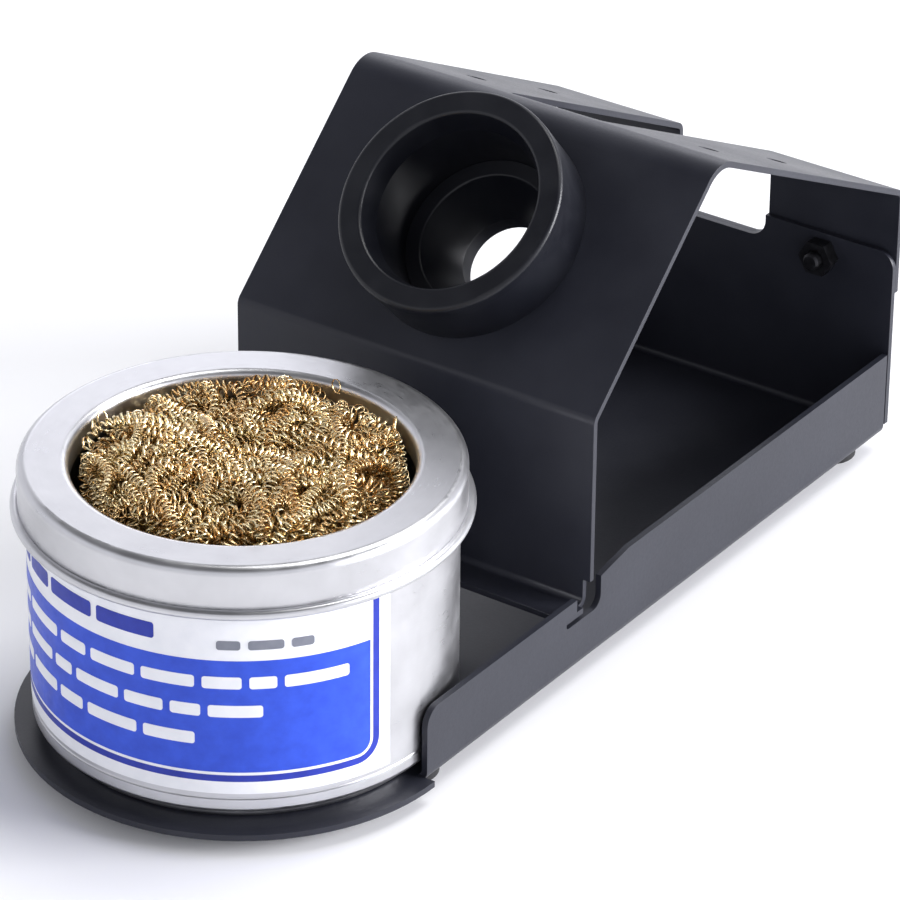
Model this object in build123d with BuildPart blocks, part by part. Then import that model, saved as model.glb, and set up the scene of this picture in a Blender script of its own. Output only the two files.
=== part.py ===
from build123d import *

# Soldering iron station. A folded steel bridge carries the funnel that the iron rests in. It hooks
# into a folded steel tray and is screwed to the tray's rear upstand. The tray's round front end
# carries a tin of brass wool with a cake of rosin under it.
#
# Millimetres. X is across, +Y runs from the tin to the rear wall, +Z is up. The origin is the
# centre of the footprint on the table top.
#
# Two local frames are used. "y" of the bridge and tray is measured from the outer face of the
# bridge's front plate, and "z" from the underside of the tray. The tin's heights are measured
# from the top of the tray's floor.

import os
from math import cos, radians, sin, tan

os.makedirs("parts", exist_ok=True)

# Folded sheet
sheet = 1.0
bend = 2.0  # outside radius of a sharp fold
width = 67.0  # over the flanges, and of the bridge
foot_height = 2.5

# Tray
disc_radius = 34.9
disc_to_front = 42.8  # from the disc's centre to the bridge's front plate
flange_front_height = 12.5
flange_height = 15.1
flange_ramp = (3.1, 13.7, 10.8)  # the step up behind the front plate: y, z, and y at full height
flange_corner = 3.0
upstand_height = 33.5
upstand_neck = 58.0  # width of the fold between the corner reliefs
relief = 1.0
flange_play = 0.3  # between the flanges' rear ends and the upstand

# Hook slot in each flange, an upright gap with a slit running forward from its foot
gap_front, gap_rear = -3.4, 3.1
slit_front, slit_floor, slit_top = -6.2, 8.5, 10.2

# Bridge
front_height = 42.0
slope_angle = 42.7
slope_length = 45.1
ridge_radius = 6.0
roof_angle = 26.3
bridge_depth = 90.2
rear_wall_foot = 26.0
fit_gap = 0.3
foot_flange_front, foot_flange_top = -5.9, 10.0
ear_rear = -1.2
ear_gap = 0.3
shoulder = 14.0  # below this height the front plate is narrowed to pass between the flanges

# Openings in the bridge
slot_width = 17.8
slot_front = 5.0  # along the roof from the ridge
slot_foot = 29.3
slot_corner, window_corner = 2.0, 3.0
tip_hole_radius = 1.7
tip_hole_x = 22.0
tip_hole_along = (17.0, 40.0)  # along the roof from the ridge

# Funnel, its heights measured outward from the slope's outer face
funnel_along = 22.8  # up the slope from the front fold
funnel_hole = 16.0
collar_top, collar_lip, collar_mouth = 11.0, 18.5, 14.7
lip_depth, lip_round = 2.0, 0.7
mouth_depth, mouth_round = 4.0, 0.6
collar_base, collar_bore = 18.2, 13.6
shank_radius, shank_end = 15.8, -7.0
ledge, ledge_radius = -5.2, 11.8
sleeve_top, sleeve_shoulder, sleeve_wall = -4.0, 11.0, 0.8
sleeve_play, sleeve_round = 0.1, 0.4
throat_radius, throat_top, throat_end = 7.1, -12.0, -15.2
lock_ring_radius, lock_ring_height, lock_ring_play = 18.2, 3.2, 0.1
notches, notch_width, notch_depth = 8, 4.0, 1.0

# Rear fasteners, M3
screw_x = 20.0
screw_z = 29.6
screw_radius, screw_hole = 1.45, 1.6
screw_head_radius, screw_head, screw_head_round = 2.8, 1.9, 0.95
recess_length, recess_width, recess_depth = 2.8, 0.6, 0.9
screw_end, screw_chamfer = 84.3, 0.35
nut_across, nut_height, nut_bore = 5.5, 2.4, 1.55

# Feet
foot_radius, foot_round = 4.0, 0.6
foot_x = 27.5
foot_front, foot_rear = -38.0, 81.5

# Tin
tin_radius = 32.1
tin_wall = 0.5
tin_step_radius, tin_step = 30.0, 2.0
tin_folds = [0.7, 0.4, 0.8]  # outside radii of the bottom's three folds, from the centre out
groove_height, groove_depth = 4.5, 0.25
lid_radius, lid_wall = 33.3, 0.6
lid_top, lid_skirt_foot = 43.8, 36.5
lid_folds = [1.4, 1.2]  # outside radii at the skirt and at the neck
lid_seat = 0.05  # play between the tin's rim and the lid
lid_bead = 0.75
neck_radius, neck_foot = 25.6, 39.7
label_foot, label_top, label_thick = 5.4, 35.4, 0.1
label_middle, label_half = -30.0, 108.0  # degrees about the tin, from -Y towards +X
cup_radius, cup_height, cup_wall = 28.5, 4.5, 0.5
flux_radius, flux_height = 27.9, 3.0
wool_radius, wool_shoulder, wool_crown = 25.0, 41.5, 46.5

# Worked out from the above
length = disc_radius + disc_to_front + bridge_depth + screw_head
front_y = disc_radius + disc_to_front - length / 2
tin_y = front_y - disc_to_front
floor_top = foot_height + sheet
flange_front = -disc_to_front
tray_rear = bridge_depth - sheet
flange_rear = tray_rear - sheet - flange_play
tin_rim = lid_top - lid_wall - lid_seat
slope_y = cos(radians(slope_angle))
slope_z = sin(radians(slope_angle))
roof_y = cos(radians(roof_angle))
roof_z = sin(radians(roof_angle))
ridge_y = slope_length * slope_y
ridge_z = front_height + slope_length * slope_z
rear_top = ridge_z - (bridge_depth - ridge_y) * tan(radians(roof_angle))
well_clear = 20.0  # a cut that passes right out of the part

# Frames
side_plane = Plane(origin=(0, front_y, foot_height), x_dir=(0, 1, 0), z_dir=(1, 0, 0))
floor_plane = Plane(origin=(0, front_y, foot_height))
tin_plane = Plane(origin=(0, tin_y, floor_top), x_dir=(1, 0, 0), z_dir=(0, -1, 0))
tin_axis = Axis((0, tin_y, floor_top), (0, 0, 1))
funnel_origin = (
    0,
    front_y + funnel_along * slope_y,
    foot_height + front_height + funnel_along * slope_z,
)
funnel_out = (0, -slope_z, slope_y)
funnel_face = Plane(origin=funnel_origin, x_dir=(1, 0, 0), z_dir=funnel_out)
funnel_section = Plane(origin=funnel_origin, x_dir=(1, 0, 0), z_dir=(0, -slope_y, -slope_z))
funnel_axis = Axis(funnel_origin, funnel_out)
roof_plane = Plane(
    origin=(0, front_y + ridge_y, foot_height + ridge_z),
    x_dir=(1, 0, 0),
    z_dir=(0, roof_z, roof_y),
)


def cross_plane(y):
    """The upright plane across the station at y, with X to the right and Z up, facing the tin."""
    return Plane(origin=(0, front_y + y, foot_height), x_dir=(1, 0, 0), z_dir=(0, -1, 0))


def save(piece, name):
    piece.part.label = name
    export_step(piece.part, f"parts/{name}.step")


# Tray: half disc, folded channel and rear upstand in one sheet
with BuildPart() as base_tray:
    with BuildSketch(floor_plane):
        with BuildLine():
            rim = CenterArc((0, -disc_to_front), disc_radius, start_angle=180, arc_size=180)
            Line(rim @ 0, rim @ 1)
        make_face()
    extrude(amount=sheet)
    with BuildSketch(cross_plane(flange_front)):
        with BuildLine():
            channel = FilletPolyline(
                (-width / 2, flange_height),
                (-width / 2, 0),
                (width / 2, 0),
                (width / 2, flange_height),
                radius=bend,
            )
            offset(channel, amount=sheet, side=Side.LEFT, closed=True)
        make_face()
    extrude(amount=-(flange_rear - flange_front))
    # the flanges are lower in front, step up behind the hook slot, and have the slot cut in them
    with BuildSketch(side_plane):
        with BuildLine():
            Polyline(
                (flange_front - relief, well_clear),
                (flange_front - relief, flange_front_height),
                (gap_front, flange_front_height),
                (gap_front, slit_top),
                (slit_front, slit_top),
                (slit_front, slit_floor),
                (gap_rear, slit_floor),
                (gap_rear, flange_ramp[1]),
                (flange_ramp[2], flange_height),
                (flange_ramp[2], well_clear),
                close=True,
            )
        make_face()
        fillet(vertices().sort_by_distance((gap_rear, slit_floor))[0], radius=bend)
        fillet(vertices().sort_by_distance((slit_front, slit_floor))[0:2], radius=sheet / 2)
    extrude(amount=width, both=True, mode=Mode.SUBTRACT)
    corners = edges().filter_by(Axis.X).filter_by_position(
        Axis.Z, foot_height + bend, foot_height + flange_front_height + relief
    )
    fillet(corners.group_by(Axis.Y)[0], radius=flange_corner)
    # the floor stops at the upstand's fold, with a relief beside its neck
    with BuildSketch(floor_plane):
        with Locations((0, tray_rear - bend)):
            Rectangle(upstand_neck + 2 * relief, 2 * bend, align=(Align.CENTER, Align.MIN))
    extrude(amount=sheet, mode=Mode.SUBTRACT)
    with BuildSketch(side_plane):
        with BuildLine():
            upstand = FilletPolyline(
                (tray_rear - 2 * bend, 0),
                (tray_rear, 0),
                (tray_rear, upstand_height),
                radius=bend,
            )
            offset(upstand, amount=sheet, side=Side.LEFT, closed=True)
        make_face()
    extrude(amount=upstand_neck / 2, both=True)
    with BuildSketch(cross_plane(tray_rear)):
        with Locations((0, bend)):
            Rectangle(width, upstand_height - bend, align=(Align.CENTER, Align.MIN))
        fillet(vertices().group_by(Axis.Y)[-1], radius=window_corner)
    extrude(amount=sheet)
    # a notch in its top edge keeps the bridge's rear opening clear
    with BuildSketch(cross_plane(tray_rear)):
        with Locations((0, slot_foot)):
            Rectangle(slot_width, upstand_height, align=(Align.CENTER, Align.MIN))
        fillet(vertices().group_by(Axis.Y)[0], radius=window_corner)
    extrude(amount=sheet, mode=Mode.SUBTRACT)
    with BuildSketch(cross_plane(tray_rear)):
        with Locations((-screw_x, screw_z), (screw_x, screw_z)):
            Circle(screw_hole)
    extrude(amount=sheet, mode=Mode.SUBTRACT)
save(base_tray, "base_tray")


# Bridge: foot flange, front plate, slope, roof and rear wall folded from one strip
with BuildPart() as bridge:
    with BuildSketch(side_plane):
        with BuildLine():
            strip = FilletPolyline(
                (foot_flange_front, foot_flange_top),
                (0, foot_flange_top),
                (0, front_height),
                (ridge_y, ridge_z),
                (bridge_depth, rear_top),
                (bridge_depth, rear_wall_foot),
                radius=[bend - sheet, bend, ridge_radius, bend],
            )
            offset(strip, amount=sheet, side=Side.LEFT, closed=True)
        make_face()
    extrude(amount=width / 2, both=True)
    # the foot of the front plate is narrowed between the flanges, and leaves an ear on each side
    inner_half = width / 2 - sheet - fit_gap
    narrowing = width / 2 - inner_half + relief
    with BuildSketch(side_plane.offset(inner_half), side_plane.offset(-inner_half - narrowing)):
        with Locations((ear_rear, 0)):
            Rectangle(-ear_rear + 2 * bend, shoulder, align=(Align.MIN, Align.MIN))
    extrude(amount=narrowing, mode=Mode.SUBTRACT)
    ear_half = width / 2 - ear_gap
    with BuildSketch(side_plane.offset(ear_half), side_plane.offset(-ear_half - relief)):
        with Locations((ear_rear, 0)):
            Rectangle(well_clear, shoulder, align=(Align.MAX, Align.MIN))
    extrude(amount=relief, mode=Mode.SUBTRACT)
    # one long opening from just behind the ridge, over the rear fold, into the rear wall
    slot_start = ridge_y + slot_front * roof_y
    slot_run = bridge_depth + bend - slot_start
    with BuildSketch(floor_plane.offset(rear_top - 2 * bend)):
        with Locations((0, slot_start)):
            Rectangle(slot_width, slot_run, align=(Align.CENTER, Align.MIN))
        fillet(vertices().group_by(Axis.Y)[0], radius=slot_corner)
    extrude(amount=ridge_z, mode=Mode.SUBTRACT)
    with BuildSketch(cross_plane(bridge_depth + bend)):
        with Locations((0, slot_foot)):
            Rectangle(slot_width, rear_top - slot_foot, align=(Align.CENTER, Align.MIN))
        fillet(vertices().group_by(Axis.Y)[0], radius=window_corner)
    extrude(amount=3 * bend, mode=Mode.SUBTRACT)
    with BuildSketch(roof_plane):
        for along in tip_hole_along:
            with Locations((-tip_hole_x, along), (tip_hole_x, along)):
                Circle(tip_hole_radius)
    extrude(amount=2 * sheet, both=True, mode=Mode.SUBTRACT)
    with BuildSketch(funnel_face):
        Circle(funnel_hole)
    extrude(amount=2 * sheet, both=True, mode=Mode.SUBTRACT)
    with BuildSketch(cross_plane(bridge_depth)):
        with Locations((-screw_x, screw_z), (screw_x, screw_z)):
            Circle(screw_hole)
    extrude(amount=sheet, mode=Mode.SUBTRACT)
save(bridge, "bridge")


# Rubber feet stuck under the tray
for name, x, y in (
    ("foot_front_left", -foot_x, foot_front),
    ("foot_front_right", foot_x, foot_front),
    ("foot_rear_left", -foot_x, foot_rear),
    ("foot_rear_right", foot_x, foot_rear),
):
    with BuildPart() as foot:
        with BuildSketch(Plane.XY):
            with Locations((x, front_y + y)):
                Circle(foot_radius)
        extrude(amount=foot_height)
        fillet(foot.edges().group_by(Axis.Z)[0], radius=foot_round)
    save(foot, name)


# Screws through the rear wall and the upstand, each into a nut on the upstand's inner face
for name, x in (("left", -screw_x), ("right", screw_x)):
    with BuildPart() as rear_screw:
        with BuildSketch(cross_plane(bridge_depth)):
            with Locations((x, screw_z)):
                Circle(screw_head_radius)
        extrude(amount=-screw_head)
        fillet(rear_screw.edges().group_by(Axis.Y)[-1], radius=screw_head_round)
        with BuildSketch(cross_plane(bridge_depth)):
            with Locations((x, screw_z)):
                Circle(screw_radius)
        extrude(amount=bridge_depth - screw_end)
        chamfer(rear_screw.edges().group_by(Axis.Y)[0], length=screw_chamfer)
        with BuildSketch(cross_plane(bridge_depth + screw_head)):
            with Locations((x, screw_z)):
                Rectangle(recess_length, recess_width)
                Rectangle(recess_width, recess_length)
        extrude(amount=recess_depth, mode=Mode.SUBTRACT)
    save(rear_screw, f"rear_screw_{name}")

    with BuildPart() as rear_nut:
        with BuildSketch(cross_plane(tray_rear - sheet)):
            with Locations((x, screw_z)):
                RegularPolygon(nut_across / 2, 6, major_radius=False)
                Circle(nut_bore, mode=Mode.SUBTRACT)
        extrude(amount=nut_height)
    save(rear_nut, f"rear_nut_{name}")


# Funnel collar: the flared lip outside the slope and the shank behind it
with BuildPart() as funnel_collar:
    with BuildSketch(funnel_section):
        with BuildLine():
            Polyline(
                (ledge_radius, shank_end),
                (ledge_radius, ledge),
                (collar_bore, ledge),
                (collar_bore, collar_top - mouth_depth),
                (collar_mouth, collar_top),
                (collar_lip, collar_top),
                (collar_lip, collar_top - lip_depth),
                (collar_base, 0),
                (shank_radius, 0),
                (shank_radius, shank_end),
                close=True,
            )
        make_face()
        fillet(vertices().sort_by_distance((collar_lip, collar_top))[0], radius=lip_round)
        fillet(vertices().sort_by_distance((collar_mouth, collar_top))[0], radius=mouth_round)
    revolve(axis=funnel_axis)
save(funnel_collar, "funnel_collar")

# Funnel sleeve: a pressed cone on the collar's ledge, narrowing to the throat that the iron passes
with BuildPart() as funnel_sleeve:
    with BuildSketch(funnel_section):
        with BuildLine():
            cone = FilletPolyline(
                (collar_bore - sleeve_play, sleeve_top),
                (sleeve_shoulder, sleeve_top),
                (throat_radius, throat_top),
                (throat_radius, throat_end),
                radius=sleeve_round,
            )
            offset(cone, amount=sleeve_wall, side=Side.LEFT, closed=True)
        make_face()
    revolve(axis=funnel_axis)
save(funnel_sleeve, "funnel_sleeve")

# Ring nut that clamps the collar's shank from behind the slope
with BuildPart() as funnel_lock_ring:
    with BuildSketch(funnel_face.offset(-sheet)):
        Circle(lock_ring_radius)
        Circle(shank_radius + lock_ring_play, mode=Mode.SUBTRACT)
        with PolarLocations(lock_ring_radius, notches):
            Rectangle(2 * notch_depth, notch_width, mode=Mode.SUBTRACT)
    extrude(amount=-lock_ring_height)
save(funnel_lock_ring, "funnel_lock_ring")


# Tin body: drawn cup with a stepped bottom and one groove above it
with BuildPart() as tin_body:
    with BuildSketch(tin_plane):
        with BuildLine():
            wall = FilletPolyline(
                (0, 0),
                (tin_step_radius, 0),
                (tin_step_radius, tin_step),
                (tin_radius, tin_step),
                (tin_radius, tin_rim),
                radius=tin_folds,
            )
            offset(wall, amount=tin_wall, side=Side.LEFT, closed=True)
        make_face()
        fillet(vertices().sort_by_distance((tin_radius, tin_rim))[0], radius=tin_wall / 2)
        with Locations((tin_radius, groove_height)):
            Circle(groove_depth, mode=Mode.SUBTRACT)
    revolve(axis=tin_axis)
save(tin_body, "tin_body")

# Lid: skirt with a rolled foot, flat ring and turned-down neck round the opening
with BuildPart() as tin_lid:
    with BuildSketch(tin_plane):
        with BuildLine():
            shell = FilletPolyline(
                (lid_radius, lid_skirt_foot),
                (lid_radius, lid_top),
                (neck_radius, lid_top),
                (neck_radius, neck_foot),
                radius=lid_folds,
            )
            offset(shell, amount=lid_wall, side=Side.LEFT, closed=True)
        make_face()
        with Locations((lid_radius + lid_bead / 2, lid_skirt_foot)):
            Circle(lid_bead)
    revolve(axis=tin_axis)
save(tin_lid, "tin_lid")

# Label wrapped round the front of the tin
with BuildPart() as tin_label:
    with BuildSketch(Plane(origin=(0, tin_y, floor_top + label_foot))):
        with BuildLine():
            label_start = label_middle - label_half - 90
            inner = CenterArc((0, 0), tin_radius, label_start, 2 * label_half)
            outer = CenterArc((0, 0), tin_radius + label_thick, label_start, 2 * label_half)
            Line(inner @ 0, outer @ 0)
            Line(inner @ 1, outer @ 1)
        make_face()
    extrude(amount=label_top - label_foot)
save(tin_label, "tin_label")

# Shallow cup in the bottom of the tin, with its cake of rosin flux
with BuildPart() as flux_cup:
    with BuildSketch(Plane(origin=(0, tin_y, floor_top + tin_wall))):
        Circle(cup_radius)
    extrude(amount=cup_height)
    offset(amount=-cup_wall, openings=flux_cup.faces().sort_by(Axis.Z)[-1])
save(flux_cup, "flux_cup")

with BuildPart() as rosin_flux:
    with BuildSketch(Plane(origin=(0, tin_y, floor_top + tin_wall + cup_wall))):
        Circle(flux_radius)
    extrude(amount=flux_height)
    fillet(rosin_flux.edges().group_by(Axis.Z)[-1], radius=cup_wall)
save(rosin_flux, "rosin_flux")

# Brass wool: a plain plug with a shallow spherical crown, the outer shape of the loose curls
with BuildPart() as brass_wool:
    wool_foot = tin_wall + cup_wall + flux_height
    crown_rise = wool_crown - wool_shoulder
    crown_radius = (wool_radius**2 + crown_rise**2) / (2 * crown_rise)
    with BuildSketch(tin_plane):
        with BuildLine():
            Polyline(
                (0, wool_crown),
                (0, wool_foot),
                (wool_radius, wool_foot),
                (wool_radius, wool_shoulder),
            )
            RadiusArc((wool_radius, wool_shoulder), (0, wool_crown), -crown_radius)
        make_face()
    revolve(axis=tin_axis)
save(brass_wool, "brass_wool")
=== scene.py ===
from math import cos, pi, radians, sin

import bpy
import numpy as np
from mathutils import Matrix, Vector


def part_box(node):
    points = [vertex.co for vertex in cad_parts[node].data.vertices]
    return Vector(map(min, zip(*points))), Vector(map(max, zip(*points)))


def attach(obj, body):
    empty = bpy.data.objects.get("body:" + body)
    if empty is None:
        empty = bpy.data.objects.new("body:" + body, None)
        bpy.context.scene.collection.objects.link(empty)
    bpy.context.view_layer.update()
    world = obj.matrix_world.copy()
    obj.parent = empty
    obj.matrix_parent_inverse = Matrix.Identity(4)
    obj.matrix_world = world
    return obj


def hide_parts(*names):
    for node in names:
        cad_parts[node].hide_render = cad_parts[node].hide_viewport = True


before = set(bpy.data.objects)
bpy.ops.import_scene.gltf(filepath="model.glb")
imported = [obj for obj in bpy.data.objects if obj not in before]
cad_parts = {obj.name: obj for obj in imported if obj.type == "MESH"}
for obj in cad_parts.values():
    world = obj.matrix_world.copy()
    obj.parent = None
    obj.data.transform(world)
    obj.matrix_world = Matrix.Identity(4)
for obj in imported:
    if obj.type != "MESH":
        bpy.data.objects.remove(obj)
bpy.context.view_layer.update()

# Soldering iron station: a folded steel stand with a funnel for the iron, and a tin of brass wool
# on its tray. Metres, in the CAD model's frame: +X across, +Y from the tin to the rear wall, +Z up.
# The CAD nodes are shown with new materials, except for the brass wool and the label, which are
# built here.

MM = 0.001


# ---------------------------------------------------------------- camera, light and floor

CAMERA_AZIMUTH = 34.85  # degrees; 0 looks along +Y, and 90 along -X
CAMERA_ELEVATION = 29.3
CAMERA_ROLL = 0.54
CAMERA_DISTANCE = 801.4 * MM
CAMERA_AIM = Vector((5.1, -4.1, 28.9)) * MM
CAMERA_LENS = 207.6  # on a 36 mm sensor
FLOOR_SIZE = 6.0
ROOM_COLOUR = (0.92, 0.93, 1.0, 1)
HORIZON_STRENGTH, ZENITH_STRENGTH = 1.0, 0.14
HORIZON_BRIGHT_TO, ZENITH_DIM_FROM = 30, 48  # degrees above the horizon
LAMP_DISTANCE = 1.5

# Azimuth and elevation in degrees, width and height in metres, power in watts, and colour
LAMPS = (
    ("key_light", 118, 15, 0.9, 0.7, 40.0, (0.96, 0.96, 1.0)),
    ("top_light", 165, 64, 0.9, 0.9, 13.0, (1, 1, 1)),
    ("rear_light", 212, 22, 1.0, 0.4, 2.2, (0.93, 0.93, 1.0)),
)


def aim(obj, place, target, roll=0.0):
    """Puts a camera or a lamp at place, looking at target."""
    back = (Vector(place) - Vector(target)).normalized()
    turn = (-back).to_track_quat("-Z", "Y").to_matrix().to_4x4()
    obj.matrix_world = Matrix.Translation(place) @ turn @ Matrix.Rotation(radians(roll), 4, "Z")


def direction(azimuth, elevation):
    """The unit vector from the object towards a viewer at this azimuth and elevation."""
    a, e = radians(azimuth), radians(elevation)
    return Vector((sin(a) * cos(e), -cos(a) * cos(e), sin(e)))


def make_camera():
    data = bpy.data.cameras.new("camera")
    data.lens = CAMERA_LENS
    data.sensor_width = 36.0
    data.clip_start = 0.01
    data.clip_end = 50.0
    camera = bpy.data.objects.new("camera", data)
    bpy.context.scene.collection.objects.link(camera)
    place = CAMERA_AIM + direction(CAMERA_AZIMUTH, CAMERA_ELEVATION) * CAMERA_DISTANCE
    aim(camera, place, CAMERA_AIM, CAMERA_ROLL)
    bpy.context.scene.camera = camera


def softbox(name, azimuth, elevation, width, height, power, colour):
    """A rectangular lamp aimed at the middle of the object."""
    data = bpy.data.lights.new(name, "AREA")
    data.shape = "RECTANGLE"
    data.size = width
    data.size_y = height
    data.energy = power
    data.color = colour
    lamp = bpy.data.objects.new(name, data)
    bpy.context.scene.collection.objects.link(lamp)
    aim(lamp, CAMERA_AIM + direction(azimuth, elevation) * LAMP_DISTANCE, CAMERA_AIM)


def make_studio():
    """A room that is bright near the horizon and dim overhead, with three soft lamps."""
    world = bpy.data.worlds.new("studio")
    world.use_nodes = True
    tree = world.node_tree
    background = tree.nodes["Background"]
    background.inputs["Color"].default_value = ROOM_COLOUR
    direction_of_light = tree.nodes.new("ShaderNodeTexCoord").outputs["Generated"]
    split = tree.nodes.new("ShaderNodeSeparateXYZ")
    tree.links.new(direction_of_light, split.inputs["Vector"])
    fade = tree.nodes.new("ShaderNodeMapRange")
    fade.interpolation_type = "SMOOTHSTEP"
    tree.links.new(split.outputs["Z"], fade.inputs["Value"])
    for name, number in (
        ("From Min", sin(radians(HORIZON_BRIGHT_TO))),
        ("From Max", sin(radians(ZENITH_DIM_FROM))),
        ("To Min", HORIZON_STRENGTH),
        ("To Max", ZENITH_STRENGTH),
    ):
        fade.inputs[name].default_value = number
    tree.links.new(fade.outputs["Result"], background.inputs["Strength"])
    bpy.context.scene.world = world
    for lamp in LAMPS:
        softbox(*lamp)
    bpy.context.scene.view_settings.view_transform = "Standard"


def make_floor():
    corners = [(-1, -1), (1, -1), (1, 1), (-1, 1)]
    mesh = bpy.data.meshes.new("floor")
    mesh.from_pydata([(x * FLOOR_SIZE, y * FLOOR_SIZE, 0) for x, y in corners], [], [(0, 1, 2, 3)])
    floor = bpy.data.objects.new("floor", mesh)
    bpy.context.scene.collection.objects.link(floor)
    mesh.materials.append(floor_paper())


# ---------------------------------------------------------------- materials


NOISE_ROUGHNESS = 0.55


class Shader:
    """A material with a Principled shader, and short ways to make the nodes that feed it."""

    def __init__(self, name, **sockets):
        self.material = bpy.data.materials.new(name)
        self.material.use_nodes = True
        self.tree = self.material.node_tree
        self.principled = self.tree.nodes["Principled BSDF"]
        self.coordinates = self.node("ShaderNodeTexCoord").outputs["Object"]
        for socket, value in sockets.items():
            self.set(socket.replace("_", " ").title().replace("Ior", "IOR"), value)

    def node(self, kind, **inputs):
        made = self.tree.nodes.new(kind)
        for name, value in inputs.items():
            self.feed(made.inputs[name], value)
        return made

    def feed(self, socket, value):
        if isinstance(value, bpy.types.NodeSocket):
            self.tree.links.new(value, socket)
        else:
            socket.default_value = value

    def set(self, socket, value):
        if isinstance(value, tuple) and len(value) == 3:
            value = (*value, 1.0)
        self.feed(self.principled.inputs[socket], value)

    def noise(self, size, detail=3.0, coordinates=None):
        """Noise from 0 to 1 with features about size metres across."""
        texture = self.node("ShaderNodeTexNoise", Vector=coordinates or self.coordinates)
        texture.inputs["Scale"].default_value = 1 / size
        texture.inputs["Detail"].default_value = detail
        texture.inputs["Roughness"].default_value = NOISE_ROUGHNESS
        return texture.outputs["Fac"]

    def cells(self, size):
        """The distance to the nearest point of cells about size metres across."""
        texture = self.node("ShaderNodeTexVoronoi", Vector=self.coordinates)
        texture.inputs["Scale"].default_value = 1 / size
        return texture.outputs["Distance"]

    def spread(self, value, low, high, start=0.3, end=0.7):
        """value, from start to end, turned into a number from low to high."""
        ranged = self.node("ShaderNodeMapRange", Value=value)
        limits = {"From Min": start, "From Max": end, "To Min": low, "To Max": high}
        for name, number in limits.items():
            ranged.inputs[name].default_value = number
        return ranged.outputs["Result"]

    def blend(self, share, low, high):
        """The colour low where share is 0, and high where it is 1."""
        mix = self.node("ShaderNodeMix")
        mix.data_type = "RGBA"
        self.feed(mix.inputs["Factor"], share)
        for socket, colour in ((mix.inputs["A"], low), (mix.inputs["B"], high)):
            self.feed_colour(mix, socket.name, colour)
        return mix.outputs[2]

    def feed_colour(self, mix, name, colour):
        socket = [s for s in mix.inputs if s.name == name and s.type == "RGBA"][0]
        if isinstance(colour, tuple):
            colour = (*colour, 1.0)
        self.feed(socket, colour)

    def bump(self, height, depth, under=None):
        """A bump of that height map, depth metres deep, on top of another bump if one is given."""
        bump = self.node("ShaderNodeBump", Height=height)
        bump.inputs["Strength"].default_value = 1.0
        bump.inputs["Distance"].default_value = depth
        if under is not None:
            self.feed(bump.inputs["Normal"], under)
        return bump.outputs["Normal"]

    def math(self, operation, a, b=0.0):
        made = self.node("ShaderNodeMath")
        made.operation = operation
        self.feed(made.inputs[0], a)
        self.feed(made.inputs[1], b)
        return made.outputs[0]

    def axis(self, letter):
        return self.node("ShaderNodeSeparateXYZ", Vector=self.coordinates).outputs[letter]


def floor_paper():
    s = Shader("floor_paper", roughness=0.9)
    share = s.spread(s.noise(0.4), 0, 1)
    s.set("Base Color", s.blend(share, (0.93, 0.93, 0.94), (0.95, 0.95, 0.955)))
    return s.material


def powder_coat():
    s = Shader("powder_coat", specular_ior_level=0.36)
    grain = s.noise(0.45 * MM, 4)
    peel = s.noise(1.6 * MM, 2)
    patches = s.noise(18 * MM, 3)
    share = s.spread(patches, 0, 1)
    s.set("Base Color", s.blend(share, (0.015, 0.016, 0.024), (0.023, 0.0245, 0.034)))
    s.set("Roughness", s.spread(s.math("ADD", grain, patches), 0.34, 0.46, 0.7, 1.3))
    s.set("Normal", s.bump(grain, 0.012 * MM, s.bump(peel, 0.012 * MM)))
    return s.material


def moulded_black(name, roughness):
    s = Shader(name, specular_ior_level=0.4)
    grain = s.noise(0.25 * MM, 3)
    patches = s.noise(7 * MM, 3)
    share = s.spread(patches, 0, 1)
    s.set("Base Color", s.blend(share, (0.005, 0.0055, 0.009), (0.008, 0.0088, 0.013)))
    s.set("Roughness", s.spread(patches, roughness - 0.05, roughness + 0.07))
    s.set("Normal", s.bump(grain, 0.006 * MM))
    return s.material


def foot_rubber():
    s = Shader("foot_rubber")
    share = s.spread(s.noise(1.5 * MM), 0, 1)
    s.set("Base Color", s.blend(share, (0.010, 0.010, 0.011), (0.022, 0.022, 0.024)))
    s.set("Roughness", s.spread(s.noise(0.6 * MM), 0.7, 0.9))
    s.set("Normal", s.bump(s.noise(0.3 * MM, 4), 0.03 * MM))
    return s.material


def black_oxide():
    s = Shader("black_oxide", metallic=0.7)
    blotches = s.spread(s.noise(1.2 * MM), 0, 1)
    s.set("Base Color", s.blend(blotches, (0.012, 0.012, 0.014), (0.035, 0.035, 0.04)))
    s.set("Roughness", s.spread(s.noise(0.4 * MM, 4), 0.28, 0.46))
    s.set("Normal", s.bump(s.noise(0.2 * MM, 3), 0.006 * MM))
    return s.material


TURNING_STRETCH = 4 * MM  # of texture for each radian round a turned piece


def around(s, centre):
    """Coordinates that run with the turning of a round piece: angle, radius and height."""
    x = s.math("SUBTRACT", s.axis("X"), centre[0])
    y = s.math("SUBTRACT", s.axis("Y"), centre[1])
    angle = s.math("ARCTAN2", y, x)
    radius = s.math("SQRT", s.math("ADD", s.math("MULTIPLY", x, x), s.math("MULTIPLY", y, y)))
    along = s.math("MULTIPLY", angle, TURNING_STRETCH)
    turned = s.node("ShaderNodeCombineXYZ", X=along, Y=radius, Z=s.axis("Z"))
    return turned.outputs["Vector"]


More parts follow.
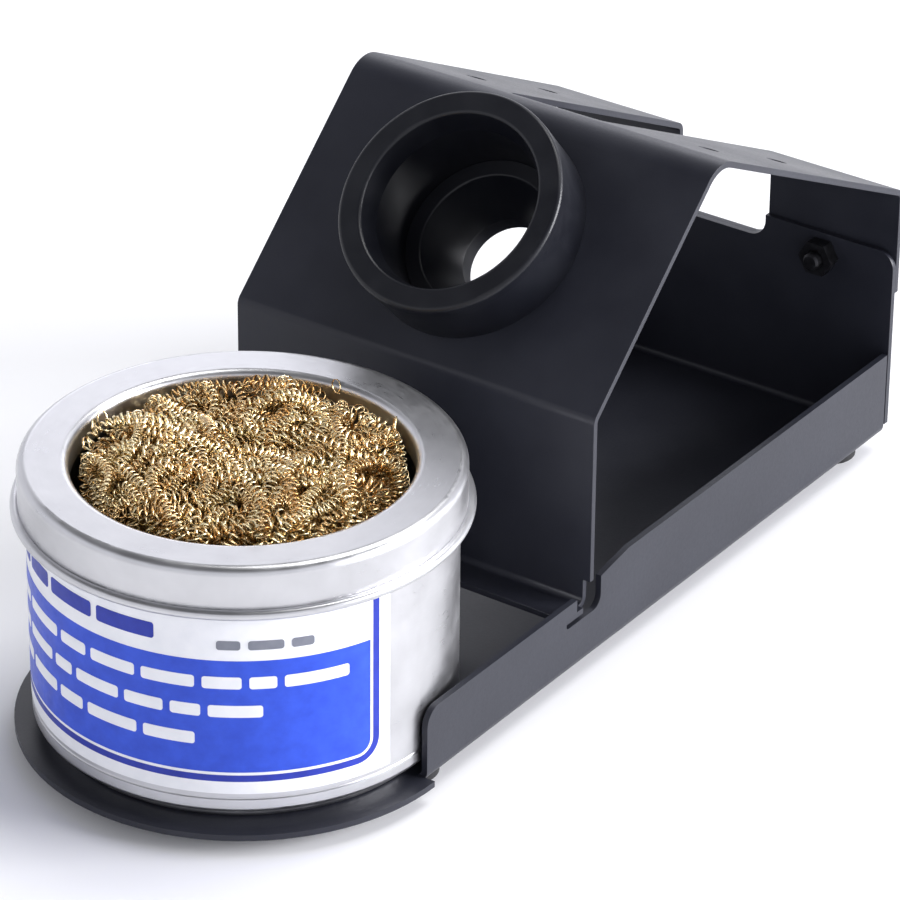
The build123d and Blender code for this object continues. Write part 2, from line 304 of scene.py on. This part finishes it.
def tinplate(centre):
    """Satin tinplate, with the fine lines of its rolling turned round the tin."""
    s = Shader("tinplate", metallic=1.0)
    lines = s.noise(0.35 * MM, 3, coordinates=around(s, centre))
    clouds = s.noise(9 * MM, 3)
    s.set("Base Color", s.blend(s.spread(clouds, 0, 1), (0.55, 0.55, 0.565), (0.64, 0.64, 0.655)))
    s.set("Roughness", s.spread(s.math("ADD", lines, clouds), 0.27, 0.40, 0.7, 1.3))
    s.set("Normal", s.bump(lines, 0.0012 * MM, s.bump(clouds, 0.02 * MM)))
    return s.material


def cup_aluminium():
    s = Shader("cup_aluminium", metallic=1.0)
    share = s.spread(s.noise(5 * MM), 0, 1)
    s.set("Base Color", s.blend(share, (0.70, 0.70, 0.71), (0.80, 0.80, 0.80)))
    s.set("Roughness", s.spread(s.noise(0.8 * MM), 0.3, 0.45))
    return s.material


def rosin():
    s = Shader("rosin", subsurface_weight=0.25, coat_weight=0.4, coat_roughness=0.08)
    swirl = s.noise(9 * MM, 4)
    s.set("Base Color", s.blend(s.spread(swirl, 0, 1), (0.32, 0.11, 0.012), (0.66, 0.33, 0.06)))
    s.set("Roughness", s.spread(s.noise(2 * MM), 0.12, 0.3))
    s.set("Normal", s.bump(swirl, 0.4 * MM, s.bump(s.cells(1.6 * MM), 0.04 * MM)))
    return s.material


def label_film(name, low, high):
    """Printed film, with a faint unevenness in the ink and a satin lacquer."""
    s = Shader(name, coat_weight=0.1, coat_roughness=0.2, specular_ior_level=0.35)
    s.set("Base Color", s.blend(s.spread(s.noise(3 * MM, 4), 0, 1), low, high))
    s.set("Roughness", s.spread(s.noise(1.2 * MM), 0.34, 0.46))
    s.set("Normal", s.bump(s.noise(6 * MM, 2), 0.01 * MM))
    return s.material


def brass_curls():
    """Each strand has its own tint, from brown to pale gold, and changes in patches along it."""
    s = Shader("brass_curls", metallic=1.0)
    tint = s.node("ShaderNodeAttribute")
    tint.attribute_name = "tint"
    share = s.math("ADD", tint.outputs["Fac"], s.spread(s.noise(1.2 * MM), -0.35, 0.35))
    s.set("Base Color", s.blend(share, (0.70, 0.36, 0.10), (1.0, 0.87, 0.55)))
    s.set("Roughness", s.spread(s.noise(0.6 * MM), 0.16, 0.34))
    return s.material


def wool_painted_shade():
    """Painted shade: near black to dark brown, standing for the shade deep in the tangle between
    the curls.
    """
    s = Shader("wool_painted_shade", metallic=0.6, roughness=0.8)
    share = s.spread(s.noise(0.7 * MM), 0, 1)
    # Painted shade: the colour runs from near black to dark brown for the shaded depths under the
    # curls
    s.set("Base Color", s.blend(share, (0.02, 0.01, 0.003), (0.30, 0.17, 0.05)))
    s.set("Normal", s.bump(s.noise(0.8 * MM, 4), 0.6 * MM))
    return s.material


# ---------------------------------------------------------------- meshes


SHARP_ANGLE = 35  # degrees between two faces, above which the edge is drawn sharp


def add_mesh(name, vertices, faces, material, body, slot, *replaced):
    """Makes a smooth piece from vertex rows and quads or triangles, and rides it on a body."""
    mesh = bpy.data.meshes.new(name)
    mesh.from_pydata([tuple(v) for v in vertices], [], [tuple(f) for f in faces])
    mesh.validate()
    mesh.polygons.foreach_set("use_smooth", [True] * len(mesh.polygons))
    mesh.set_sharp_from_angle(angle=radians(SHARP_ANGLE))
    mesh.materials.append(material)
    piece = bpy.data.objects.new(name, mesh)
    bpy.context.scene.collection.objects.link(piece)
    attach(piece, body)
    if replaced:
        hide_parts(*replaced)
    return piece


# ---------------------------------------------------------------- label

tin_low, tin_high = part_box("tin_body")
TIN_CENTRE = (tin_low + tin_high) / 2
TIN_RADIUS = (tin_high.x - tin_low.x) / 2
TIN_FOOT = tin_low.z

LABEL_MIDDLE, LABEL_HALF = -30.0, 108.0  # degrees about the tin, from -Y towards +X
LABEL_SURFACE = TIN_RADIUS + 0.1 * MM
INK_UNDER, INK_OVER = 0.02 * MM, 0.03 * MM  # how far the ink reaches into and over the film
PANEL_FROM, PANEL_TO = -128.0, 71.5
PANEL_FOOT, PANEL_TOP = 9.1 * MM, 28.0 * MM  # above the tin's foot
PANEL_CORNER = 2.2 * MM
FRAME_GAP, FRAME_WIDTH = 0.5 * MM, 1.1 * MM
FRAME_TOP = 35.3 * MM
PRINT_STEP = 1.5 * MM
CORNER_STEPS = 8

# Plain rounded bars that stand in for the lines of print: height of the middle, bar height, the
# row's start and end in degrees about the tin, and the shortest and longest bar
PRINT_ROWS = (
    ("label_title", 31.7 * MM, 2.6 * MM, -112.0, 21.0, 6 * MM, 14 * MM),
    ("label_note", 30.6 * MM, 1.5 * MM, 30.0, 60.0, 3 * MM, 6 * MM),
    ("label_row_1", 24.3 * MM, 2.0 * MM, -112.0, 66.0, 4 * MM, 10 * MM),
    ("label_row_2", 19.5 * MM, 2.0 * MM, -112.0, 50.0, 4 * MM, 10 * MM),
    ("label_row_3", 14.7 * MM, 2.0 * MM, -112.0, 26.0, 4 * MM, 10 * MM),
)
BAR_GAP, BAR_CORNER = 1.1 * MM, 0.45 * MM
PRINT_SEED = 3


def on_tin(along, height, radius):
    """The point along metres round the tin from -Y towards +X, at a height above its foot."""
    a = along / TIN_RADIUS
    return (TIN_CENTRE.x + radius * sin(a), TIN_CENTRE.y - radius * cos(a), TIN_FOOT + height)


def cup_outline(grow, steps):
    """The blue panel's sides and foot, moved outward by grow, from the left round to the right."""
    corner = PANEL_CORNER + grow
    left = radians(PANEL_FROM) * TIN_RADIUS - grow + corner
    right = radians(PANEL_TO) * TIN_RADIUS + grow - corner
    middle = PANEL_FOOT - grow + corner
    arc = [radians(90 * i / CORNER_STEPS) for i in range(CORNER_STEPS + 1)]
    points = [(left - corner * cos(a), middle - corner * sin(a)) for a in arc]
    points += [(left + (right - left) * i / steps, middle - corner) for i in range(1, steps)]
    return points + [(right + corner * sin(a), middle - corner * cos(a)) for a in arc]


def wrapped_band(name, first, second, inner, outer, material, *replaced):
    """A thin solid wrapped on the tin between two outlines of as many points each."""
    rows = []
    for (a, h), (b, k) in zip(first, second, strict=True):
        rows += [on_tin(a, h, inner), on_tin(a, h, outer), on_tin(b, k, outer), on_tin(b, k, inner)]
    count = len(first)
    faces = []
    for i in range(count - 1):
        j = i + 1
        for k in range(4):
            m = (k + 1) % 4
            faces.append((4 * i + k, 4 * j + k, 4 * j + m, 4 * i + m))
    faces += [(0, 1, 2, 3), tuple(4 * (count - 1) + k for k in (3, 2, 1, 0))]
    return add_mesh(name, rows, faces, material, "tin", "label_print", *replaced)


def print_bar(left, right, middle, height):
    """The lower and upper edges of a bar with rounded corners."""
    arc = [radians(90 * i / CORNER_STEPS) for i in range(CORNER_STEPS + 1)]
    straight = height / 2 - BAR_CORNER
    half = [(left + BAR_CORNER * (1 - cos(a)), straight + BAR_CORNER * sin(a)) for a in arc]
    steps = max(2, round((right - left) / PRINT_STEP))
    run = right - left - 2 * BAR_CORNER
    half += [(left + BAR_CORNER + run * i / steps, height / 2) for i in range(1, steps)]
    half += [(left + right - a, h) for a, h in reversed(half[:CORNER_STEPS + 1])]
    return [(a, middle - h) for a, h in half], [(a, middle + h) for a, h in half]


def make_print(ink, *materials):
    rng = np.random.default_rng(PRINT_SEED)
    for (name, middle, height, first, last, short, long), material in zip(PRINT_ROWS, materials):
        place, end = radians(first) * TIN_RADIUS, radians(last) * TIN_RADIUS
        number = 1
        while place + short < end:
            right = min(place + rng.uniform(short, long), end)
            edges = print_bar(place, right, middle, height)
            wrapped_band(f"{name}_{number}", *edges, *ink, material)
            place = right + BAR_GAP
            number += 1


def make_label():
    """White film with a blue frame round a white band and a blue panel. It has no lettering."""
    low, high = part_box("tin_label")
    foot, top = low.z - TIN_FOOT, high.z - TIN_FOOT
    white = label_film("label_white", (0.80, 0.81, 0.845), (0.86, 0.865, 0.89))
    blue = label_film("label_blue", (0.015, 0.060, 0.53), (0.025, 0.085, 0.65))
    deep = label_film("label_deep_blue", (0.010, 0.024, 0.30), (0.016, 0.038, 0.40))
    grey = label_film("label_grey", (0.16, 0.17, 0.21), (0.22, 0.23, 0.27))
    left = radians(LABEL_MIDDLE - LABEL_HALF) * TIN_RADIUS
    right = radians(LABEL_MIDDLE + LABEL_HALF) * TIN_RADIUS
    steps = round((right - left) / PRINT_STEP)
    stations = [left + (right - left) * i / steps for i in range(steps + 1)]
    lower, upper = [(a, foot) for a in stations], [(a, top) for a in stations]
    film = TIN_RADIUS + INK_UNDER / 2, LABEL_SURFACE
    wrapped_band("label_film", lower, upper, *film, white, "tin_label")
    ink = LABEL_SURFACE - INK_UNDER, LABEL_SURFACE + INK_OVER
    outline = cup_outline(0, steps)
    wrapped_band("label_panel", outline, [(a, PANEL_TOP) for a, _ in outline], *ink, blue)
    outer, inner = cup_outline(FRAME_GAP + FRAME_WIDTH, steps), cup_outline(FRAME_GAP, steps)
    for line in (outer, inner):
        line.insert(0, (line[0][0], FRAME_TOP))
        line.append((line[-1][0], FRAME_TOP))
    wrapped_band("label_frame", outer, inner, *ink, deep)
    over_panel = LABEL_SURFACE, LABEL_SURFACE + 2 * INK_OVER
    make_print(over_panel, deep, grey, white, white, white)


# ---------------------------------------------------------------- brass wool

wool_low, wool_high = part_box("brass_wool")
WOOL_MIDDLE = np.array((wool_low + wool_high) / 2)
WOOL_RADIUS = (wool_high.x - wool_low.x) / 2
WOOL_HALF = (wool_high.z - wool_low.z) / 2
WOOL_SQUARENESS = 14  # of the super-ellipse that bounds the tangle
STRANDS, BATCHES = 190, 5
STRAND_LENGTH = 52 * MM
TURN_POINTS = 11
COIL_RADIUS = (0.55 * MM, 1.25 * MM)
COIL_PITCH = (0.8 * MM, 1.7 * MM)
RIBBON_WIDTH = (0.30 * MM, 0.52 * MM)
RIBBON_THICK = 0.10 * MM
PATH_TURNING = 270  # the most that a strand's path turns, radians a metre
STRAND_DEPTH = 4.0 * MM  # how deep below the surface a strand may run
SKIN = -0.1 * MM  # from the plug's surface to the outermost coils
LUMP_SIZE, LUMP_HEIGHT = 5.0 * MM, 0.7 * MM
CROWN_LUMPS = 1.6 * MM  # more height in the lumps on the crown
CROWN_BIAS = 1.1  # more strands start on the crown than under the foot
CORE_DEPTH = 4.6 * MM
STRAY_LOOPS = 7
STRAY_RADIUS = (0.9 * MM, 1.6 * MM)
STRAY_TURN = 0.95  # of a full turn
STRAY_INSET, STRAY_SINK = 2.5 * MM, 2.2 * MM  # of a loop's foot, from the plug's side and top
STRAY_LEAN = 0.3  # outward, as a share of upright
STRAY_LEAD = 0.12 * MM  # sideways, for each radian
STRAND_TINTS, STRAY_TINTS = (0.25, 1.0), (0.3, 0.8)
COIL_KNOTS, PITCH_KNOTS, BEND_KNOTS, DEPTH_KNOTS = 11, 12, 8, 7  # changes along a strand
CORE_RINGS, CORE_SPOKES = 40, 96
WOOL_SEED = 8


def unit(v):
    return v / np.linalg.norm(v, axis=-1, keepdims=True)


def lumps(p):
    """The clumping of the tangle, from 0 on its humps to 1 in its hollows, at points p."""
    x, y, z = (p / LUMP_SIZE).T
    waves = np.sin(1.3 * x + 2 * np.sin(y))
    waves = waves + np.sin(1.1 * y + 1.7 * np.cos(z))
    waves = waves + np.sin(1.2 * z + 1.5 * np.sin(x + 1))
    return (1 + waves / 3) / 2


def onto_shell(p, depth):
    """Points p moved to depth below the tangle's surface, and the surface's outward normals."""
    q = p - WOOL_MIDDLE
    r = np.hypot(q[:, 0], q[:, 1])
    side = WOOL_RADIUS - depth
    half = WOOL_HALF - depth
    n = WOOL_SQUARENESS
    reach = ((r / side) ** n + (np.abs(q[:, 2]) / half) ** n) ** (1 / n)
    q = q / reach[:, None]
    r = np.maximum(np.hypot(q[:, 0], q[:, 1]), 1e-6)
    slope_r = (r / side) ** (n - 1) / side
    slope_z = np.sign(q[:, 2]) * (np.abs(q[:, 2]) / half) ** (n - 1) / half
    normal = unit(np.stack([slope_r * q[:, 0] / r, slope_r * q[:, 1] / r, slope_z], 1))
    return WOOL_MIDDLE + q, normal


def smooth_draws(rng, count, steps, knots, low, high):
    """For each of count strands, a smooth random curve of steps values between low and high."""
    drawn = rng.uniform(low, high, (count, knots + 1))
    place = np.linspace(0, knots, steps, endpoint=False)
    first = place.astype(int)
    t = place - first
    t = t * t * (3 - 2 * t)
    return drawn[:, first] * (1 - t) + drawn[:, first + 1] * t


def ribbons(centre, across, inward):
    """The corners of three-sided ribbons, from their centre lines and half widths."""
    return np.stack([centre - across, centre + across, centre + inward], 2)


def coiled_strands(rng, count, depth_low, depth_high):
    """The corners of coiled ribbons that wander over the tangle's surface."""
    step = COIL_PITCH[0] / TURN_POINTS
    steps = int(STRAND_LENGTH / step)
    coil = smooth_draws(rng, count, steps, COIL_KNOTS, *COIL_RADIUS)
    pitch = smooth_draws(rng, count, steps, PITCH_KNOTS, *COIL_PITCH)
    bend = smooth_draws(rng, count, steps, BEND_KNOTS, -PATH_TURNING, PATH_TURNING)
    depth = smooth_draws(rng, count, steps, DEPTH_KNOTS, depth_low, depth_high)
    theta = rng.uniform(0, 2 * pi, count)
    width = rng.uniform(*RIBBON_WIDTH, count)
    start = rng.normal(size=(count, 3))
    start[:, 2] += CROWN_BIAS
    place, normal = onto_shell(WOOL_MIDDLE + start * WOOL_RADIUS, np.full(count, depth_low))
    heading = unit(np.cross(normal, rng.normal(size=(count, 3))))
    stations = []
    for i in range(steps):
        lump_height = LUMP_HEIGHT + CROWN_LUMPS * np.abs(normal[:, 2])
        sink = coil[:, i] + depth[:, i] + SKIN + lumps(place) * lump_height
        place, normal = onto_shell(place + heading * step, sink)
        heading = unit(heading - (heading * normal).sum(1, keepdims=True) * normal)
        sideways = np.cross(heading, normal)
        heading = unit(heading + (bend[:, i] * step)[:, None] * sideways)
        theta = theta + 2 * pi * step / pitch[:, i]
        out = np.cos(theta)[:, None] * normal + np.sin(theta)[:, None] * sideways
        round_way = -np.sin(theta)[:, None] * normal + np.cos(theta)[:, None] * sideways
        lead = (pitch[:, i] / (2 * pi * coil[:, i]))[:, None]
        across = np.cross(out, unit(round_way + lead * heading)) * width[:, None] / 2
        stations.append(ribbons(
            (place + out * coil[:, i][:, None])[:, None],
            across[:, None],
            -out[:, None] * RIBBON_THICK,
        ))
    return np.concatenate(stations, 1)


def stray_loops(rng, count):
    """The corners of single loose turns that stand up at the rim of the opening."""
    steps = 3 * TURN_POINTS
    turn = np.linspace(0, 2 * pi * STRAY_TURN, steps)[None, :, None]
    azimuth = rng.uniform(0, 2 * pi, count)
    outward = np.stack([np.cos(azimuth), np.sin(azimuth), np.zeros(count)], 1)
    radius = rng.uniform(*STRAY_RADIUS, count)[:, None, None]
    base = WOOL_MIDDLE + outward * (WOOL_RADIUS - STRAY_INSET)
    base[:, 2] = WOOL_MIDDLE[2] + WOOL_HALF - STRAY_SINK
    side = unit(np.cross(outward, rng.normal(size=(count, 3))))
    upright = np.cross(side, outward)
    up = unit(upright * np.sign(upright[:, 2:3]) + outward * STRAY_LEAN)
    out = -np.cos(turn) * up[:, None] + np.sin(turn) * side[:, None]
    centre = base[:, None] + up[:, None] * radius + out * radius
    axis = np.cross(up, side)[:, None] * np.ones_like(turn)
    across = axis * RIBBON_WIDTH[0] / 2
    return ribbons(centre + axis * turn * STRAY_LEAD, across, -out * RIBBON_THICK)


def add_ribbons(name, corners, tints, material):
    """A piece made of many ribbons with closed ends, too many for add_mesh's lists."""
    count, steps = corners.shape[:2]
    first = (np.arange(count) * steps)[:, None, None] + np.arange(steps - 1)[None, :, None]
    corner = np.arange(3)
    following = (corner + 1) % 3
    here, ahead = 3 * first, 3 * (first + 1)
    sides = [here + corner, ahead + corner, ahead + following, here + following]
    quads = np.stack(sides, -1).reshape(-1, 4)
    starts = 3 * steps * np.arange(count)[:, None]
    ends = np.concatenate([starts + corner, starts + 3 * (steps - 1) + corner[::-1]])
    loops = np.concatenate([quads.ravel(), ends.ravel()])
    end_starts = quads.size + np.arange(0, ends.size, 3)
    loop_starts = np.concatenate([np.arange(0, quads.size, 4), end_starts])
    mesh = bpy.data.meshes.new(name)
    mesh.vertices.add(count * steps * 3)
    mesh.vertices.foreach_set("co", corners.ravel())
    mesh.loops.add(len(loops))
    mesh.loops.foreach_set("vertex_index", loops)
    mesh.polygons.add(len(loop_starts))
    mesh.polygons.foreach_set("loop_start", loop_starts)
    mesh.update(calc_edges=True)
    mesh.polygons.foreach_set("use_smooth", [True] * len(loop_starts))
    tint = mesh.attributes.new("tint", "FLOAT", "POINT")
    tint.data.foreach_set("value", np.repeat(tints, steps * 3))
    mesh.materials.append(material)
    piece = bpy.data.objects.new(name, mesh)
    bpy.context.scene.collection.objects.link(piece)
    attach(piece, "wool")
    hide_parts("brass_wool")


def make_wool():
    rng = np.random.default_rng(WOOL_SEED)
    curls = brass_curls()
    each = STRANDS // BATCHES
    for number in range(BATCHES):
        deep = STRAND_DEPTH * number / BATCHES
        corners = coiled_strands(rng, each, deep, deep + STRAND_DEPTH / BATCHES)
        tints = rng.uniform(*STRAND_TINTS, each)
        add_ribbons(f"brass_curls_{number + 1}", corners, tints, curls)
    loops = stray_loops(rng, STRAY_LOOPS)
    tints = rng.uniform(*STRAY_TINTS, STRAY_LOOPS)
    add_ribbons("brass_stray_loops", loops, tints, curls)
    make_wool_core()


def make_wool_core():
    """A dark lumpy body under the curls, with painted shade that closes the view through the
    tangle.
    """
    rings, spokes = CORE_RINGS, CORE_SPOKES
    rows = []
    for i in range(1, rings):
        polar = pi * i / rings
        for k in range(spokes):
            turn = 2 * pi * k / spokes
            rows.append((sin(polar) * cos(turn), sin(polar) * sin(turn), cos(polar)))
    rows += [(0, 0, 1), (0, 0, -1)]
    points = WOOL_MIDDLE + np.array(rows) * WOOL_RADIUS
    points, _ = onto_shell(points, CORE_DEPTH + 2 * LUMP_HEIGHT * lumps(points))
    faces = []
    for i in range(rings - 2):
        for k in range(spokes):
            m = (k + 1) % spokes
            here, below = i * spokes, (i + 1) * spokes
            faces.append((here + k, below + k, below + m, here + m))
    top, bottom, last = len(rows) - 2, len(rows) - 1, (rings - 2) * spokes
    for k in range(spokes):
        m = (k + 1) % spokes
        faces += [(top, k, m), (bottom, last + m, last + k)]
    # The core carries the painted shade of the tangle's depths
    add_mesh("brass_wool_core", points, faces, wool_painted_shade(), "wool", "brass_curls", "brass_wool")


# ---------------------------------------------------------------- the CAD nodes' finish

EDGE_ROUND, EDGE_SEGMENTS = 0.22 * MM, 3
EDGE_ANGLE = 50  # degrees between two faces, above which their edge is rounded
WELD_WITHIN = 0.002 * MM
FLAT_WITHIN = 0.3  # degrees between two faces, below which they become one
FLAT_FACE_WEIGHT = 90


def finish_node(name, material):
    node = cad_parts[name]
    node.data.materials.clear()
    node.data.materials.append(material)


def soften_edges(name):
    """Rounds the cut edges of the sheet, which a punch and a coat of powder leave soft.

    The flat faces are joined up first, so that no thin triangle shows as a streak."""
    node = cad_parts[name]
    weld = node.modifiers.new("weld", "WELD")
    weld.merge_threshold = WELD_WITHIN
    flatten = node.modifiers.new("flatten", "DECIMATE")
    flatten.decimate_type = "DISSOLVE"
    flatten.angle_limit = radians(FLAT_WITHIN)
    bevel = node.modifiers.new("bevel", "BEVEL")
    bevel.width = EDGE_ROUND
    bevel.segments = EDGE_SEGMENTS
    bevel.limit_method = "ANGLE"
    bevel.angle_limit = radians(EDGE_ANGLE)
    shade = node.modifiers.new("weighted_normal", "WEIGHTED_NORMAL")
    shade.mode = "FACE_AREA"
    shade.weight = FLAT_FACE_WEIGHT


def finish_cad():
    coat = powder_coat()
    for name in ("base_tray", "bridge"):
        finish_node(name, coat)
        soften_edges(name)
    finish_node("funnel_collar", moulded_black("collar_black", 0.36))
    finish_node("funnel_sleeve", moulded_black("sleeve_black", 0.42))
    finish_node("funnel_lock_ring", moulded_black("ring_black", 0.45))
    rubber = foot_rubber()
    for end in ("front", "rear"):
        for side in ("left", "right"):
            finish_node(f"foot_{end}_{side}", rubber)
    oxide = black_oxide()
    for side in ("left", "right"):
        finish_node(f"rear_screw_{side}", oxide)
        finish_node(f"rear_nut_{side}", oxide)
    tin = tinplate(TIN_CENTRE)
    finish_node("tin_body", tin)
    finish_node("tin_lid", tin)
    finish_node("flux_cup", cup_aluminium())
    finish_node("rosin_flux", rosin())


make_camera()
make_studio()
make_floor()
finish_cad()
make_label()
make_wool()
